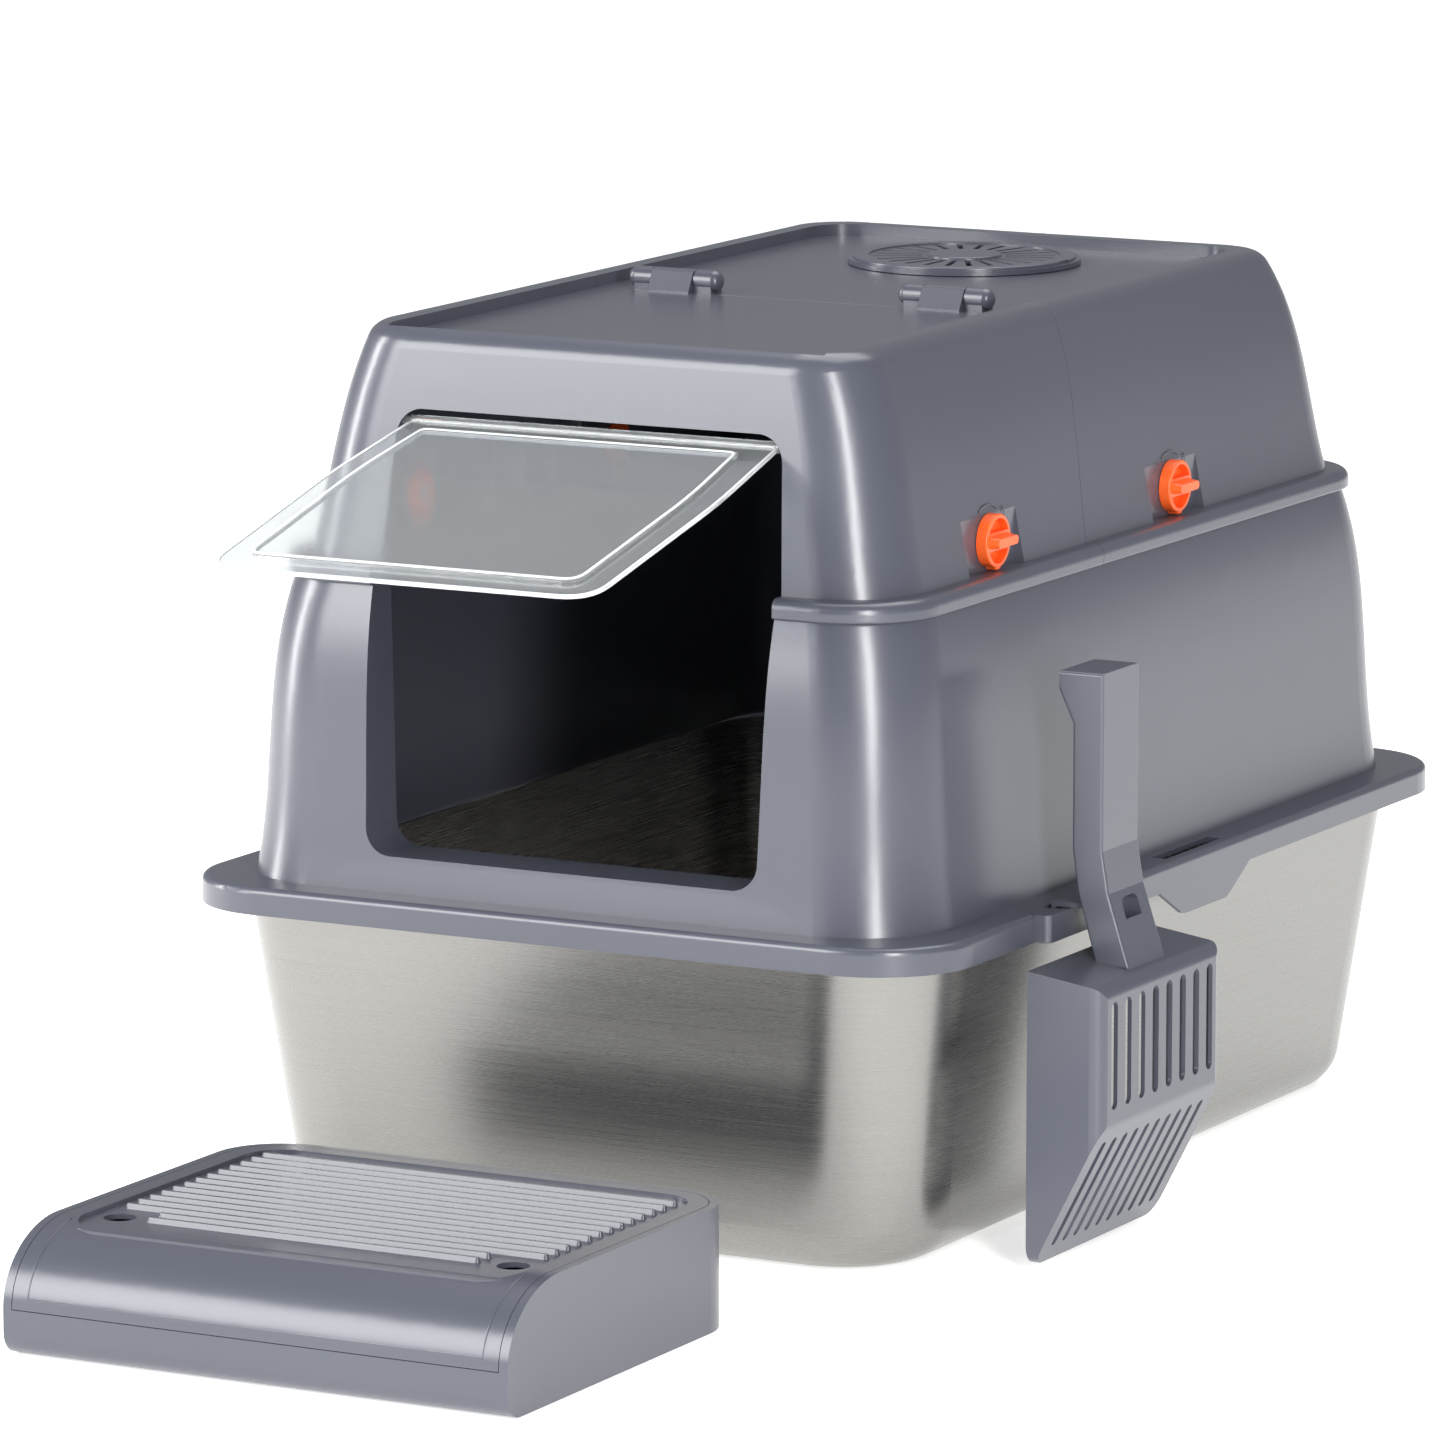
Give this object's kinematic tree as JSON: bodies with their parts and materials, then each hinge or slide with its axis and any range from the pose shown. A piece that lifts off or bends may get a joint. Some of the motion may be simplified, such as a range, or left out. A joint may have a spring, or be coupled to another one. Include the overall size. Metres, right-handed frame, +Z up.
{
  "type": "cat litter box with hood",
  "caption": "Covered cat litter box: steel pan, moulded enclosure, split hinged hood with turn latches, clear door flap, filter vent, hanging scoop and a separate step.",
  "frame": {"origin": "middle of the pan's flat underside, on the floor", "axes": "+Z up, -Y the doorway and step side, +X the scoop side"},
  "size_m": [0.482, 0.9315, 0.4598],
  "materials": {
    "stainless_sheet": "brushed",
    "slate_plastic": "satin",
    "orange_plastic": "satin",
    "clear_plastic": "clear",
    "pin_steel": "drawn",
    "screw_steel": "zinc plated",
    "carbon_felt": "felt"
  },
  "bodies": {
    "pan": {"steel_pan": "stainless_sheet"},
    "enclosure": {"lower_enclosure": "slate_plastic"},
    "rear_hood": {"hood_rear": "slate_plastic", "hinge_pin_left": "pin_steel", "hinge_pin_right": "pin_steel", "filter_tray": "slate_plastic", "filter_pad": "carbon_felt"},
    "front_hood": {"hood_front": "slate_plastic"},
    "flap": {"door_flap": "clear_plastic"},
    "latch_front_left": {"knob_front_left": "orange_plastic", "cam_front_left": "orange_plastic", "cam_screw_front_left": "screw_steel"},
    "latch_front_right": {"knob_front_right": "orange_plastic", "cam_front_right": "orange_plastic", "cam_screw_front_right": "screw_steel"},
    "latch_rear_left": {"knob_rear_left": "orange_plastic", "cam_rear_left": "orange_plastic", "cam_screw_rear_left": "screw_steel"},
    "latch_rear_right": {"knob_rear_right": "orange_plastic", "cam_rear_right": "orange_plastic", "cam_screw_rear_right": "screw_steel"},
    "vent": {"vent_cover": "slate_plastic"},
    "scoop_body": {"scoop": "slate_plastic"},
    "step": {"step_base": "slate_plastic"},
    "tread": {"step_cover": "slate_plastic"}
  },
  "joints": [
    {"name": "enclosure_lift", "type": "slide", "parent": "pan", "child": "enclosure", "axis": [0, 0, 1], "range_m": [0, 0.2]},
    {"name": "hood_lift", "type": "slide", "parent": "enclosure", "child": "rear_hood", "axis": [0, 0, 1], "range_m": [0, 0.15]},
    {"name": "hood_flip", "type": "hinge", "parent": "rear_hood", "child": "front_hood", "pos_m": [0, -0.0265, 0.4542], "axis": [-1, 0, 0], "range_deg": [0, 105]},
    {"name": "flap_swing", "type": "hinge", "parent": "front_hood", "child": "flap", "pos_m": [0, -0.2575, 0.407], "axis": [-1, 0, 0], "range_deg": [-150, 5]},
    {"name": "latch_front_left_turn", "type": "hinge", "parent": "front_hood", "child": "latch_front_left", "pos_m": [-0.1648, -0.152, 0.3515], "axis": [-1, 0, 0], "range_deg": [0, 90]},
    {"name": "latch_front_right_turn", "type": "hinge", "parent": "front_hood", "child": "latch_front_right", "pos_m": [0.1648, -0.152, 0.3515], "axis": [1, 0, 0], "range_deg": [0, 90]},
    {"name": "latch_rear_left_turn", "type": "hinge", "parent": "rear_hood", "child": "latch_rear_left", "pos_m": [-0.1648, 0.059, 0.3515], "axis": [-1, 0, 0], "range_deg": [0, 90]},
    {"name": "latch_rear_right_turn", "type": "hinge", "parent": "rear_hood", "child": "latch_rear_right", "pos_m": [0.1648, 0.059, 0.3515], "axis": [1, 0, 0], "range_deg": [0, 90]},
    {"name": "vent_twist", "type": "hinge", "parent": "rear_hood", "child": "vent", "pos_m": [0, 0.15, 0.45], "axis": [0, 0, 1], "range_deg": [0, 30]},
    {"name": "scoop_lift", "type": "slide", "parent": "enclosure", "child": "scoop_body", "axis": [0, 0, 1], "range_m": [0, 0.12]},
    {"name": "step_slide", "type": "slide", "parent": "pan", "child": "step", "axis": [0, 1, 0], "range_m": [-0.08, 0.06]},
    {"name": "step_cover_lift", "type": "slide", "parent": "step", "child": "tread", "axis": [0, 0, 1], "range_m": [0, 0.1]}
  ]
}
